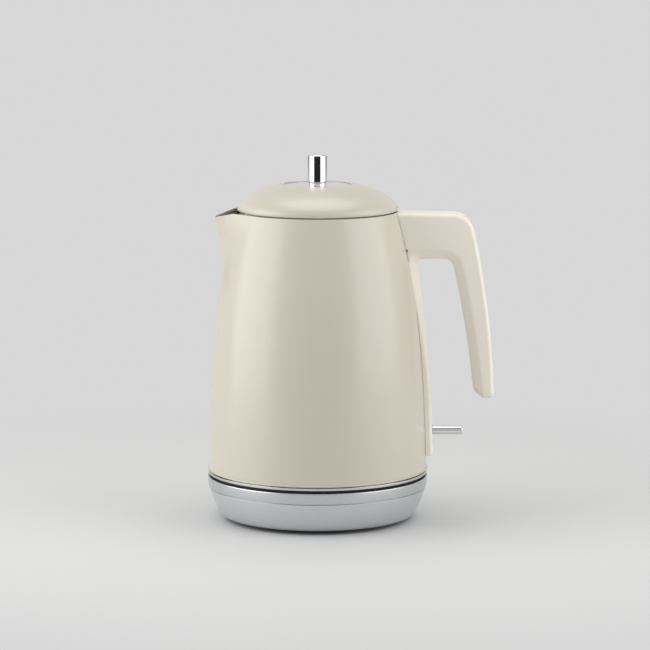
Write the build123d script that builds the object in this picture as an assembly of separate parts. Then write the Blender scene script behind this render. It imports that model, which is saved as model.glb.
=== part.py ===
from build123d import *

import os
from math import acos, cos, hypot, pi, radians, sin, sqrt, tan

# A cordless electric kettle: a round power base, a painted steel jug that turns on it and lifts off,
# a pull-off domed lid with a knob, an open hook handle, and a rocker switch low on the handle's strip.
# Millimetres, +Z up. The origin is on the kettle's axis, on the surface that the base stands on.
# The handle points along +X and the spout along -X.

# Clearances
fit = 0.05             # between pieces that are pushed together
gap = 0.2              # between pieces of one assembly that only lie near each other
moving_gap = 0.35      # between pieces that move past each other
pin_clearance = 0.05   # radial, of the pivot pin in the lever
overcut = 6.0          # how far a cutting shape runs past what it cuts

# Shell of the jug
body_radius = 77.0
rim_radius = 56.6
rim_z = 218.0
body_upright = 58.0    # the wall is upright up to this height and leans in above it
wall = 0.8
hem_radius = 0.6       # bead rolled along the foot of the shell
spout_depth = 46.0     # height of the beak, down from the rim
spout_reach = 16.1
spout_swing = 1.35     # 1 is a straight front, more swings out later
spout_nose = 0.06      # roundness of the beak's front edge, in radians about the axis
lip_drop = 5.2
lip_run = 14.5

# Power base
base_overhang = 0.6    # base radius over the shell's
foot_height = 2.7
foot_depth = 1.2
foot_width = 6.0
foot_inset = 15.6      # from the skirt's lower edge to the middle of the foot ring
skirt_taper = 8.7
skirt_step = 0.6
skirt_height = 20.2
skirt_wall = 3.0
skirt_bulge = 0.35
skirt_round = 1.2
trim_height = 8.2
trim_wall = 2.4
trim_round = 0.9
seam_depth = 1.0
seam_height = 0.35
deck_drop = 1.5        # from the top of the trim ring down to the deck
deck_thickness = 2.5
deck_wall = 2.0
bottom_thickness = 2.5
base_boss_radius = 4.5
base_boss_inset = 11.0  # from the foot ring in to the screw bosses
base_screw_radius = 1.5
base_screw_head_radius = 3.0
base_screw_head = 1.2
base_screw_reach = 14.0
gland_radius = 6.0
gland_bore_radius = 3.6
gland_flange_radius = 7.5
gland_flange = 2.0
gland_length = 12.0
gland_rise = 11.0      # over the skirt's foot

# Contact post of the base and the blades of the jug
post_radius = 16.5
post_height = 13.4
post_chamfer = 0.8
post_flange_radius = 26.0
post_flange = 6.0
live_hole_radius = 3.4
live_pin_radius = 1.9
neutral_radius = 7.5
earth_radius = 12.5
blade_thickness = 0.6
groove_width = 2.2
groove_depth = 10.5
contact_thickness = 0.4
contact_height = 6.0
blade_reach = 8.5      # how far the blades stand into the post
blade_root = 5.0       # how far they are moulded into the control
swivel_height = 1.2
swivel_width = 2.4
socket_clearance = 1.1
socket_wall = 2.0
socket_headroom = 1.5

# Foot of the jug
jug_gap = 1.9          # dark band between the base and the jug's trim ring
jug_ring_height = 2.6
cover_recess = 1.5     # how far the dark band lies inside the shell
cover_floor = 2.0
cover_wall = 1.6
cover_wall_height = 11.0
cover_foot_inset = 8.0
cover_foot_width = 5.0
cover_boss_radius = 4.5
cover_boss_height = 10.0
cover_screw_inset = 14.5
cover_screw_radius = 1.5
cover_screw_head_radius = 3.0
cover_screw_head = 1.2
cover_screw_reach = 8.0
post_nut_radius = 3.4  # pillars under the floor that take the cover's screws
post_nut_length = 17.0

# Floor, heater and control
floor_over_switch = 9.0
floor_thickness = 0.8
floor_seal_width = 2.2
floor_seal_lip = 1.1
diffuser_inset = 19.0
diffuser_thickness = 4.0
element_inset = 14.0
element_tube_radius = 3.3
element_gap = 84.0     # degrees of the ring left open, on the side of the switch
element_pin_radius = 1.6
element_pin_length = 9.0
control_radius = 30.0
control_screw_inset = 6.0
control_screw_radius = 1.5
control_screw_head_radius = 2.8
control_screw_head = 1.8
dry_boil_radius = 8.0
dry_boil_thickness = 0.6
dry_boil_circle = 17.0
steam_tube_radius = 4.0
steam_tube_wall = 0.8
steam_tube_inset = 10.0
steam_tube_angle = 26.0
steam_tube_below = 7.0
steam_tube_headroom = 3.0
steam_disc_radius = 8.0
steam_disc_thickness = 0.5
steam_disc_drop = 1.0
steam_stand_radius = 5.0
grommet_wall = 1.2
grommet_flange = 1.3

# Mouth ring and spout filter
mouth_lip = 9.6        # from the rim in to the mouth
mouth_drop = 3.0       # from the rim down to the lid's seat
mouth_thickness = 0.8
mouth_collar = 9.0
filter_inset = 3.0
filter_thickness = 1.6
filter_top_width = 43.0
filter_bottom_width = 26.0
filter_height = 31.0
filter_bar = 3.0
mesh_thickness = 0.4
mesh_hole = 2.6
mesh_pitch = 3.6

# Lid
lid_gap = 0.7          # dark line between the lid and the rim
lid_inset = 0.3
lid_wall = 1.4
lid_tuck = 1.6
lid_edge_height = 2.2
lid_shoulder_inset = 6.3
lid_shoulder_height = 9.5
lid_crown_inset = 18.3
lid_crown_height = 15.0
lid_top_radius = 23.5
lid_top_height = 18.4
lid_top_slope = 0.14
disc_gap = 0.25
disc_sink = 0.6        # how far the disc lies below the lid's top edge
disc_thickness = 1.0
knob_radius = 6.5
knob_height = 21.0
knob_round = 0.9
knob_screw_radius = 2.0
knob_screw_reach = 10.0
knob_screw_head_radius = 4.0
knob_screw_head = 2.4
liner_thickness = 1.0
liner_depth = 8.4
liner_flange = 5.5
liner_rim = 5.0
seal_width = 1.2
seal_height = 4.0
seal_rise = 2.0
lid_boss_radius = 3.5
lid_boss_inset = 9.0
lid_screw_radius = 1.4
lid_screw_head_radius = 2.7
lid_screw_head = 1.3
lid_screw_reach = 8.0

# Handle: an arm, a hanging grip, and a strip down the wall. Places outward are from the shell's
# widest radius, and drops are from the arm's top.
handle_width = 25.0
handle_fit = 0.3       # between the handle and the shell
handle_wall = 2.6
arm_drop = 1.3         # from the rim down to the arm's top
arm_fall = 0.9         # fall of the arm's top along its length
arm_height = 31.5
arm_corner_round = 13.0
grip_top_out = 30.7
grip_mid_out = 42.3
grip_mid_drop = 62.0
grip_end_out = 47.9
grip_length = 130.4
grip_tip_round = 4.0
grip_heel_round = 7.0
grip_inner_top_out = 17.2
grip_inner_mid_out = 27.1
grip_inner_mid_drop = 80.0
grip_inner_end_out = 33.5
loop_round = 7.0
outer_round = 2.8
parting = 6.8          # width of the inner moulding, from the finger side to the parting line
bevel = 6.0            # width of the slope along the finger side
bevel_depth = 3.0
strip_width = 18.0
strip_thickness = 4.4
strip_round = 2.0
strip_rise = 9.6       # from the shell's foot up to the strip's lower end
stud_radius = 3.5
stud_drop = 13.0
handle_screw_radius = 1.9
handle_screw_head_radius = 4.5
handle_screw_head = 2.0
handle_screw_reach = 3.5
lower_screw_drop = 12.0  # below the switch

# Switch
switch_rise = 26.4     # over the shell's foot
switch_inset = 7.5     # pivot, in from the shell
switch_travel = 10.0   # degrees from off to on
switch_rod_radius = 3.05
switch_rod_out = 25.6
switch_rod_chamfer = 0.5
switch_rod_root = 6.0
nose_radius = 4.2
nose_sink = 0.5        # how far the lever's nose lies inside the strip's face
hub_radius = 4.4
lever_width = 8.0
lever_thickness = 3.6
lever_bite = 3.0       # how far the lever reaches into the control
lever_drop = 12.0
pivot_radius = 1.5
bracket_thickness = 2.5
bracket_length = 7.0
bracket_floor = 2.0

# Places that follow from the sizes above
base_radius = body_radius + base_overhang
skirt_top_radius = base_radius - skirt_step
skirt_bottom_radius = base_radius - skirt_taper
foot_radius = skirt_bottom_radius - foot_inset
base_boss_circle = foot_radius - base_boss_inset
trim_z = foot_height + skirt_height
base_top_z = trim_z + trim_height
deck_z = base_top_z - deck_drop
deck_under_z = deck_z - deck_thickness
bottom_top_z = foot_height + bottom_thickness
post_top_z = deck_z + post_height
groove_z = post_top_z - groove_depth
swivel_z = deck_z + moving_gap
socket_radius = post_radius + socket_clearance
socket_z = swivel_z + swivel_height + moving_gap
roof_z = post_top_z + socket_headroom
jug_ring_z = base_top_z + jug_gap
shell_z = jug_ring_z + jug_ring_height
cover_z = jug_ring_z - cover_floor
band_radius = body_radius - cover_recess
cover_screw_circle = body_radius - cover_screw_inset
switch_x = body_radius - switch_inset
switch_z = shell_z + switch_rise
floor_z = switch_z + floor_over_switch
diffuser_radius = body_radius - diffuser_inset
diffuser_z = floor_z - diffuser_thickness
element_circle = diffuser_radius - element_inset
control_top_z = diffuser_z - dry_boil_thickness
control_screw_circle = control_radius - control_screw_inset
steam_tube_circle = diffuser_radius - steam_tube_inset
steam_tube_x = steam_tube_circle * cos(radians(steam_tube_angle))
steam_tube_y = steam_tube_circle * sin(radians(steam_tube_angle))
steam_disc_z = diffuser_z - steam_tube_below - steam_disc_drop - steam_disc_thickness
grommet_radius = steam_tube_radius + grommet_wall
seat_z = rim_z - mouth_drop
mouth_radius = rim_radius - mouth_lip
mouth_flange_z = seat_z - mouth_thickness
lid_radius = rim_radius - lid_inset
lid_z = rim_z + lid_gap
lid_top_z = lid_z + lid_top_height
disc_top_z = lid_top_z - disc_sink
disc_z = disc_top_z - disc_thickness
lid_floor_z = disc_z - lid_wall
knob_top_z = disc_top_z + knob_height
plug_radius = mouth_radius - moving_gap - seal_width
liner_seat_z = seat_z + moving_gap
liner_bottom_z = liner_seat_z - liner_depth
lid_boss_circle = plug_radius - lid_boss_inset
arm_top_z = rim_z - arm_drop
loop_top_z = arm_top_z - arm_height
grip_tip_z = arm_top_z - grip_length
strip_radius = body_radius + handle_fit + strip_thickness
strip_bottom_z = shell_z + strip_rise
stud_z = arm_top_z - stud_drop
lower_screw_z = switch_z - lower_screw_drop
nose_end_x = strip_radius - nose_sink
lever_end_x = control_radius - lever_bite
lever_end_z = switch_z - lever_drop
lever_swing = (lever_drop + lever_thickness / 2) * sin(radians(switch_travel))
bracket_gap = max(lever_width / 2, nose_radius) + moving_gap
lean = body_radius - rim_radius
lean_height = rim_z - body_upright
lean_radius = (lean_height ** 2 + lean ** 2) / (2 * lean)
upright = (Align.CENTER, Align.CENTER, Align.MIN)


def rod(radius, low, high, x=0.0, y=0.0):
    return Pos(x, y, low) * Cylinder(radius, high - low, align=upright)


def rod_along_x(radius, low, high, z):
    return Pos(low, 0, z) * Rot(0, 90, 0) * Cylinder(radius, high - low, align=upright)


def rod_along_y(radius, low, high, z, x=0.0):
    return Pos(x, low, z) * Rot(-90, 0, 0) * Cylinder(radius, high - low, align=upright)


def ring(inner, outer, low, high):
    return rod(outer, low, high) - rod(inner, low - overcut, high + overcut)


def block(x0, x1, y0, y1, z0, z1):
    return Pos(x0, y0, z0) * Box(x1 - x0, y1 - y0, z1 - z0, align=Align.MIN)


def lathe(*edges):
    return revolve(Plane.XZ * make_face(edges), Axis.Z)


def slab(face, width):
    return extrude(Plane.XZ * face, amount=width / 2, both=True)


def around(radius, count, start):
    return [(radius * cos(start + 2 * pi * step / count), radius * sin(start + 2 * pi * step / count))
            for step in range(count)]


def screw(radius, head_radius, head_z, head_height, end_z, x, y):
    return rod(radius, head_z, end_z, x, y) + rod(head_radius, head_z, head_z + head_height, x, y)


base_bosses = around(base_boss_circle, 4, pi / 4)
cover_bosses = around(cover_screw_circle, 3, pi / 3)
control_bosses = around(control_screw_circle, 3, pi / 3)
lid_bosses = around(lid_boss_circle, 3, pi / 2)


# The shell's wall

def shell_radius(z):
    above = max(0.0, z - body_upright)
    return body_radius - lean_radius + sqrt(lean_radius ** 2 - above ** 2)


def spout_out(z):
    share = max(0.0, 1 - (rim_z - z) / spout_depth)
    return spout_reach * share ** spout_swing


# Outline at height z: a circle drawn out to a beak by two tangent lines that meet in a rounded nose.
def shell_outline(z, inset):
    radius = shell_radius(z)
    beak = acos(radius / (radius + spout_out(z))) + spout_nose
    shares = [step / 24 - 1 for step in range(49)]
    turns = [pi * share * (0.35 + 0.65 * share ** 2) for share in shares]
    points = []
    for turn in turns[:-1]:
        lift = max(0.0, beak - hypot(turn, spout_nose))
        reach = radius / cos(lift) - inset
        points.append((-reach * cos(turn), reach * sin(turn), z))
    return make_face(Edge.make_spline(points, periodic=True, parameters=turns))


def shell_solid(inset):
    steps = 16
    heights = [shell_z + (rim_z - shell_z) * step / steps for step in range(steps + 1)]
    return loft([shell_outline(z, inset) for z in heights])


# The round wall alone, grown by a clearance, to cut what lies against it.
def turned_shell(grow):
    middle = body_radius - lean_radius
    arc = lean_radius + grow
    half_z = (body_upright + rim_z) / 2
    half_radius = middle + sqrt(arc ** 2 - (half_z - body_upright) ** 2)
    top_radius = middle + sqrt(arc ** 2 - lean_height ** 2)
    low = (body_radius + grow, body_upright)
    side = ThreePointArc(low, (half_radius, half_z), (top_radius, rim_z))
    rest = Polyline((top_radius, rim_z), (0, rim_z), (0, 0), (body_radius + grow, 0), low)
    return lathe(side, rest)


# Power base

def skirt_side(inset):
    low = skirt_bottom_radius - inset
    high = skirt_top_radius - inset
    middle = ((low + high) / 2 + skirt_bulge, (foot_height + trim_z) / 2)
    return ThreePointArc((low, foot_height), middle, (high, trim_z))


def make_base_skirt():
    outer = skirt_side(0)
    inner = skirt_side(skirt_wall)
    body = lathe(outer, Line(outer @ 1, inner @ 1), inner, Line(inner @ 0, outer @ 0))
    foot_edge = body.edges().group_by(Axis.Z)[0].sort_by(SortBy.LENGTH)[-1]
    body = fillet(foot_edge, skirt_round)
    return body - rod_along_y(gland_radius + gap, 0, base_radius, foot_height + gland_rise)


def make_base_trim_ring():
    body = ring(base_radius - trim_wall, base_radius, trim_z, base_top_z)
    body = fillet(body.edges().group_by(Axis.Z)[-1], trim_round)
    return body - ring(base_radius - seam_depth, base_radius + overcut, trim_z - overcut, trim_z + seam_height)


def make_base_deck():
    radius = base_radius - trim_wall - gap
    body = ring(post_radius + gap, radius, deck_under_z, deck_z)
    body += ring(radius - deck_wall, radius, trim_z, deck_under_z)
    for x, y in base_bosses:
        body += rod(base_boss_radius, bottom_top_z, deck_under_z, x, y)
        body -= rod(base_screw_radius + fit, 0, bottom_top_z + base_screw_reach + fit, x, y)
    return body


def make_base_bottom_plate():
    body = rod(skirt_bottom_radius - skirt_wall - gap, foot_height, bottom_top_z)
    half = foot_width / 2 + fit
    body -= ring(foot_radius - half, foot_radius + half, 0, foot_height + foot_depth)
    for x, y in base_bosses:
        body -= rod(base_screw_head_radius + gap, 0, foot_height + base_screw_head, x, y)
        body -= rod(base_screw_radius + gap, 0, deck_z, x, y)
    return body


def make_base_foot_ring():
    return ring(foot_radius - foot_width / 2, foot_radius + foot_width / 2, 0, foot_height + foot_depth)


def make_base_screws():
    return Compound([screw(base_screw_radius, base_screw_head_radius, foot_height, base_screw_head,
                           bottom_top_z + base_screw_reach, x, y) for x, y in base_bosses])


def make_cord_gland():
    z = foot_height + gland_rise
    share = (gland_rise - gland_flange_radius) / skirt_height
    inside = skirt_bottom_radius - skirt_wall + (skirt_taper - skirt_step) * share
    seat = sqrt(inside ** 2 - gland_flange_radius ** 2) - gap
    body = rod_along_y(gland_radius, seat - gland_flange, seat - gland_flange + gland_length, z)
    body += rod_along_y(gland_flange_radius, seat - gland_flange, seat, z)
    return body - rod_along_y(gland_bore_radius, 0, base_radius + overcut, z)


def make_base_connector():
    body = rod(post_radius, deck_under_z, post_top_z)
    body = chamfer(body.edges().group_by(Axis.Z)[-1], post_chamfer)
    body += rod(post_flange_radius, deck_under_z - post_flange, deck_under_z)
    for radius in (neutral_radius, earth_radius):
        body -= ring(radius - groove_width / 2, radius + groove_width / 2, groove_z, post_top_z + overcut)
    return body - rod(live_hole_radius, groove_z, post_top_z + overcut)


def base_contact(inner):
    return ring(inner, inner + contact_thickness, groove_z, groove_z + contact_height)


def make_base_live_contact():
    return base_contact(live_hole_radius - fit - contact_thickness)


def make_base_neutral_contact():
    return base_contact(neutral_radius - groove_width / 2 + fit)


def make_base_earth_contact():
    return base_contact(earth_radius - groove_width / 2 + fit)


def make_swivel_ring():
    inner = post_radius + moving_gap
    return ring(inner, inner + swivel_width, swivel_z, swivel_z + swivel_height)


# Jug: shell and foot

# Room for the lever's nose, through the wall and the strip.
def switch_slot():
    half = nose_radius + moving_gap
    swing = (strip_radius - switch_x) * tan(radians(switch_travel))
    return block(switch_x, strip_radius + overcut, -half, half, switch_z - half - swing, switch_z + half)


def make_jug_body():
    body = shell_solid(0) - shell_solid(wall)
    body += Pos(0, 0, shell_z + hem_radius + fit) * Torus(body_radius - wall / 2 + hem_radius, hem_radius)
    lip_x = rim_radius + spout_reach - lip_run
    end_x = rim_radius + spout_reach + overcut
    end_z = rim_z - lip_drop * (lip_run + overcut) / lip_run
    lip = Polyline((-lip_x, rim_z), (-end_x, end_z), (-end_x, rim_z + overcut), (-lip_x, rim_z + overcut), close=True)
    body -= slab(make_face(lip), 2 * body_radius)
    body -= switch_slot()
    return body - rod_along_x(handle_screw_radius + gap, switch_x, strip_radius, lower_screw_z)


def make_jug_trim_ring():
    return ring(band_radius, body_radius + hem_radius / 2, jug_ring_z, shell_z)


def make_bottom_cover():
    body = ring(socket_radius + socket_wall + gap, band_radius, cover_z, jug_ring_z)
    inner = band_radius - gap - cover_wall
    body += ring(inner, band_radius - gap, jug_ring_z, shell_z)
    body += ring(inner, body_radius - wall - gap, shell_z, jug_ring_z + cover_wall_height)
    foot = body_radius - cover_foot_inset
    body += ring(foot - cover_foot_width / 2, foot + cover_foot_width / 2, deck_z + moving_gap, cover_z)
    for x, y in cover_bosses:
        body += rod(cover_boss_radius, jug_ring_z, jug_ring_z + cover_boss_height, x, y)
        body -= rod(cover_screw_radius + gap, 0, floor_z, x, y)
        body -= rod(cover_screw_head_radius + gap, 0, cover_z + cover_screw_head, x, y)
    return body


def make_cover_screws():
    end = floor_z - post_nut_length + cover_screw_reach
    return Compound([screw(cover_screw_radius, cover_screw_head_radius, cover_z, cover_screw_head, end, x, y)
                     for x, y in cover_bosses])


def make_floor_posts():
    low = floor_z - post_nut_length
    bore_end = low + cover_screw_reach + fit
    return Compound([rod(post_nut_radius, low, floor_z, x, y) - rod(cover_screw_radius + fit, 0, bore_end, x, y)
                     for x, y in cover_bosses])


# Jug: floor, heater and control

floor_radius = shell_radius(floor_z) - wall - floor_seal_width - gap


def make_heater_plate():
    body = rod(floor_radius, floor_z, floor_z + floor_thickness)
    return body - rod(grommet_radius + fit, floor_z - overcut, floor_z + overcut, steam_tube_x, steam_tube_y)


def make_floor_seal():
    top = floor_z + floor_thickness + floor_seal_lip
    outer = shell_radius(top) - wall - gap
    body = ring(floor_radius - floor_seal_width, outer, floor_z - floor_seal_lip, top)
    return body - rod(floor_radius + fit, floor_z, floor_z + floor_thickness)


def make_heat_diffuser():
    body = rod(diffuser_radius, diffuser_z, floor_z)
    hole = grommet_radius + grommet_flange + gap
    return body - rod(hole, diffuser_z - overcut, floor_z + overcut, steam_tube_x, steam_tube_y)


def make_heating_element():
    z = diffuser_z - element_tube_radius
    path = CenterArc((0, 0, z), element_circle, element_gap / 2, 360 - element_gap)
    body = sweep(Plane(origin=path @ 0, z_dir=path % 0) * Circle(element_tube_radius), path)
    for end in (path @ 0, path @ 1):
        body += rod(element_pin_radius, z - element_tube_radius - element_pin_length, z, end.X, end.Y)
    return body


def make_control_body():
    body = ring(socket_radius, socket_radius + socket_wall, socket_z, roof_z)
    body += rod(control_radius, roof_z, control_top_z)
    for radius in (neutral_radius, earth_radius):
        half = blade_thickness / 2 + fit
        body -= ring(radius - half, radius + half, post_top_z, roof_z + blade_root)
    body -= rod(live_pin_radius + fit, post_top_z, roof_z + blade_root)
    half = lever_width / 2 + moving_gap
    notch_x = lever_end_x - lever_swing - moving_gap
    notch_z = lever_end_z - lever_thickness / 2 - 2 * moving_gap
    body -= block(notch_x, control_radius + overcut, -half, half, notch_z, floor_z)
    for x, y in control_bosses:
        body -= rod(control_screw_radius + fit, 0, floor_z, x, y)
    return body


def make_control_screws():
    return Compound([screw(control_screw_radius, control_screw_head_radius, roof_z - control_screw_head,
                           control_screw_head, diffuser_z, x, y) for x, y in control_bosses])


def make_live_pin():
    body = rod(live_pin_radius, post_top_z - blade_reach, roof_z + blade_root)
    return chamfer(body.edges().group_by(Axis.Z)[0], live_pin_radius / 2)


def blade(radius):
    half = blade_thickness / 2
    return ring(radius - half, radius + half, post_top_z - blade_reach, roof_z + blade_root)


def make_neutral_blade():
    return blade(neutral_radius)


def make_earth_blade():
    return blade(earth_radius)


def make_dry_boil_discs():
    return Compound([rod(dry_boil_radius, control_top_z, diffuser_z, x, y)
                     for x, y in around(dry_boil_circle, 2, pi / 2)])


def make_steam_disc():
    return rod(steam_disc_radius, steam_disc_z, steam_disc_z + steam_disc_thickness, steam_tube_x, steam_tube_y)


def make_steam_disc_stand():
    return rod(steam_stand_radius, jug_ring_z, steam_disc_z, steam_tube_x, steam_tube_y)


def make_steam_tube():
    top = mouth_flange_z - mouth_collar - steam_tube_headroom
    body = rod(steam_tube_radius, diffuser_z - steam_tube_below, top, steam_tube_x, steam_tube_y)
    return body - rod(steam_tube_radius - steam_tube_wall, 0, rim_z, steam_tube_x, steam_tube_y)


def make_steam_grommet():
    top = floor_z + floor_thickness
    body = rod(grommet_radius, floor_z - grommet_flange, top + grommet_flange, steam_tube_x, steam_tube_y)
    flange = grommet_radius + grommet_flange
    body += rod(flange, floor_z - grommet_flange, floor_z, steam_tube_x, steam_tube_y)
    body += rod(flange, top, top + grommet_flange, steam_tube_x, steam_tube_y)
    return body - rod(steam_tube_radius + fit, 0, rim_z, steam_tube_x, steam_tube_y)


# Jug: mouth and filter

def make_mouth_ring():
    edge = shell_radius(seat_z) - wall - gap
    body = ring(mouth_radius, edge, mouth_flange_z, seat_z)
    return body + ring(mouth_radius, mouth_radius + mouth_thickness, mouth_flange_z - mouth_collar, mouth_flange_z)


def filter_outline(inset):
    top = mouth_flange_z - gap
    low = top - filter_height
    upper = filter_top_width / 2 - inset
    lower = filter_bottom_width / 2 - inset
    return make_face(Polyline((-upper, top - inset), (upper, top - inset), (lower, low + inset),
                              (-lower, low + inset), close=True))


def stand_at_spout(face, thickness):
    x = rim_radius - filter_inset
    return Pos(-x, 0, 0) * extrude(Plane.YZ * face, amount=thickness / 2, both=True)


def make_filter_frame():
    return stand_at_spout(filter_outline(0) - filter_outline(filter_bar), filter_thickness)


def make_filter_mesh():
    inside = filter_outline(filter_bar + mesh_pitch - mesh_hole)
    rows = int(filter_height / mesh_pitch)
    columns = int(filter_top_width / mesh_pitch / 2)
    middle = mouth_flange_z - gap - filter_height / 2
    grid = [Pos(column * mesh_pitch, middle + (row - rows / 2 + 0.5) * mesh_pitch) * Rectangle(mesh_hole, mesh_hole)
            for row in range(rows) for column in range(-columns, columns + 1)]
    sheet = filter_outline(filter_bar)
    holes = [hole for hole in grid if (inside & hole).area > 0.9 * mesh_hole ** 2]
    return stand_at_spout(sheet - holes, mesh_thickness)


# Lid

def dome_solid(inset):
    edge = lid_radius - inset
    side_z = lid_z + lid_edge_height
    low = (edge - lid_tuck, lid_z)
    corner = (edge - 0.3 * lid_tuck, lid_z + 0.3 * lid_edge_height)
    foot = ThreePointArc(low, corner, (edge, side_z))
    top = (lid_top_radius, lid_top_z - inset)
    side = Spline((edge, side_z),
                  (lid_radius - lid_shoulder_inset - 0.65 * inset, lid_z + lid_shoulder_height - 0.75 * inset),
                  (lid_radius - lid_crown_inset - 0.35 * inset, lid_z + lid_crown_height - 0.93 * inset),
                  top, tangents=[(0, 1), (-1, lid_top_slope)])
    return lathe(foot, side, Polyline(top, (0, lid_top_z - inset), (0, lid_z), low))


def make_lid_shell():
    hollow = dome_solid(lid_wall) & rod(lid_radius, 0, lid_floor_z)
    body = dome_solid(0) - hollow
    bosses = [rod(lid_boss_radius, liner_bottom_z + liner_thickness, lid_floor_z, x, y) for x, y in lid_bosses]
    inside = dome_solid(lid_wall / 2) + rod(lid_radius - lid_tuck - lid_wall, 0, lid_z)
    for boss in bosses:
        body += boss & inside
    for x, y in lid_bosses:
        body -= rod(lid_screw_radius + fit, 0, liner_bottom_z + liner_thickness + lid_screw_reach + fit, x, y)
    body -= rod(lid_top_radius, disc_z, lid_top_z + overcut)
    return body - rod(knob_screw_radius + gap, lid_floor_z - overcut, lid_top_z)


def make_lid_disc():
    body = rod(lid_top_radius - disc_gap, disc_z, disc_top_z)
    return body - rod(knob_screw_radius + gap, 0, knob_top_z)


def make_lid_knob():
    body = rod(knob_radius, disc_top_z, knob_top_z)
    body = fillet(body.edges().group_by(Axis.Z)[-1], knob_round)
    return body - rod(knob_screw_radius + fit, 0, disc_top_z + knob_screw_reach + fit)


def make_knob_screw():
    return screw(knob_screw_radius, knob_screw_head_radius, lid_floor_z - knob_screw_head, knob_screw_head,
                 disc_top_z + knob_screw_reach, 0, 0)


def make_lid_liner():
    flange = plug_radius + liner_flange
    flange_top = liner_seat_z + liner_thickness
    body = rod(plug_radius, liner_bottom_z, liner_bottom_z + liner_thickness)
    body += ring(plug_radius - liner_thickness, plug_radius, liner_bottom_z, flange_top)
    body += ring(plug_radius, flange, liner_seat_z, flange_top)
    body += ring(flange - liner_thickness, flange, liner_seat_z, flange_top + liner_rim)
    for x, y in lid_bosses:
        body -= rod(lid_screw_radius + gap, 0, rim_z, x, y)
    return body


def make_lid_seal():
    low = liner_bottom_z + seal_rise
    return ring(plug_radius + fit, plug_radius + seal_width, low, low + seal_height)


def make_lid_screws():
    return Compound([screw(lid_screw_radius, lid_screw_head_radius, liner_bottom_z - lid_screw_head, lid_screw_head,
                           liner_bottom_z + liner_thickness + lid_screw_reach, x, y) for x, y in lid_bosses])


# Handle

def grip_inner():
    return ThreePointArc((body_radius + grip_inner_end_out, grip_tip_z),
                         (body_radius + grip_inner_mid_out, arm_top_z - grip_inner_mid_drop),
                         (body_radius + grip_inner_top_out, loop_top_z))


# The hook: arm, corner, grip and tip. It runs on into the shell, which is cut away later.
def hook_face():
    inner = grip_inner()
    root = rim_radius - overcut
    corner = (body_radius + grip_top_out, arm_top_z - arm_fall)
    middle = (body_radius + grip_mid_out, arm_top_z - grip_mid_drop)
    end = (body_radius + grip_end_out, grip_tip_z)
    outer = ThreePointArc(corner, middle, end)
    face = make_face([Polyline((root, loop_top_z), (root, arm_top_z), corner), outer, Line(end, inner @ 0),
                      inner, Line(inner @ 1, (root, loop_top_z))])
    for place, radius in ((corner, arm_corner_round), (end, grip_tip_round), (inner @ 0, grip_heel_round),
                          (inner @ 1, loop_round)):
        face = fillet(face.vertices().sort_by_distance(Vector(*place))[0], radius)
    return face


# The space for the fingers, widened by a margin.
def finger_space(margin):
    inner = grip_inner()
    low = grip_tip_z - 2 * parting
    start = inner @ 0
    end = inner @ 1
    below = start - (inner % 0) * (start.Y - low)
    root = rim_radius - overcut - 2 * parting
    face = make_face([Polyline(end, (root, loop_top_z), (root, below.Y), below, start), inner])
    face = fillet(face.vertices().sort_by_distance(end)[0], loop_round)
    return offset(face, margin, kind=Kind.INTERSECTION)


# The slope along the finger side, from the middle out to one side of the handle.
def bevel_cut(side):
    flat = side * (handle_width / 2 - bevel_depth)
    edge = side * handle_width / 2
    return loft([Plane.XZ.offset(flat) * finger_space(0), Plane.XZ.offset(edge) * finger_space(bevel)], ruled=True)


# Edges of a slab's two sides that don't lie on the piece beside it.
def rim_edges(body, beside, width):
    rim = []
    for edge in body.edges():
        place = edge.center()
        if abs(abs(place.Y) - width / 2) < fit and place.X > rim_radius:
            if beside.distance_to(Vertex(place.X, place.Z, 0)) > gap:
                rim.append(edge)
    return rim


def hook_cavity():
    side_wall = bevel_depth + handle_wall / 2
    inside = slab(offset(hook_face(), -handle_wall), handle_width - 2 * side_wall)
    return inside - turned_shell(handle_fit + handle_wall)


def make_handle_cap():
    space = finger_space(parting)
    body = slab(hook_face() - space, handle_width)
    body = fillet(rim_edges(body, space, handle_width), outer_round)
    body -= hook_cavity()
    body -= turned_shell(handle_fit)
    return body - rod_along_x(stud_radius + gap, 0, stud_end_x, stud_z)


def strip_solid():
    middle = body_radius - lean_radius
    arc = lean_radius + handle_fit + strip_thickness
    top_z = loop_top_z + handle_wall / 2
    half_z = (body_upright + top_z) / 2
    half = middle + sqrt(arc ** 2 - (half_z - body_upright) ** 2)
    top = middle + sqrt(arc ** 2 - (top_z - body_upright) ** 2)
    root = rim_radius - overcut
    side = ThreePointArc((strip_radius, body_upright), (half, half_z), (top, top_z))
    face = make_face([side, Polyline((top, top_z), (root, top_z), (root, strip_bottom_z),
                                     (strip_radius, strip_bottom_z), (strip_radius, body_upright))])
    body = slab(face, strip_width)
    outside = [edge for edge in body.edges() if edge.center().X > shell_radius(edge.center().Z) + handle_fit
               and edge.center().Z < top_z - fit]
    return fillet(outside, strip_round)


def make_handle_frame():
    hook = hook_face()
    space = finger_space(parting)
    body = slab(hook & space, handle_width)
    body -= bevel_cut(1)
    body -= bevel_cut(-1)
    body += strip_solid()
    body -= hook_cavity()
    body -= turned_shell(handle_fit)
    body -= switch_slot()
    end_x = body_radius + handle_fit + handle_screw_reach
    return body - rod_along_x(handle_screw_radius + fit, 0, end_x + fit, lower_screw_z)


stud_end_x = shell_radius(stud_z - handle_screw_head_radius) + handle_fit + handle_wall + gap
stud_bore_x = shell_radius(stud_z - handle_screw_radius) + handle_fit


def make_handle_stud():
    body = rod_along_x(stud_radius, rim_radius - overcut, stud_end_x, stud_z) - turned_shell(fit)
    return body - rod_along_x(handle_screw_radius + fit, stud_bore_x, stud_end_x + overcut, stud_z)


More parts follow.
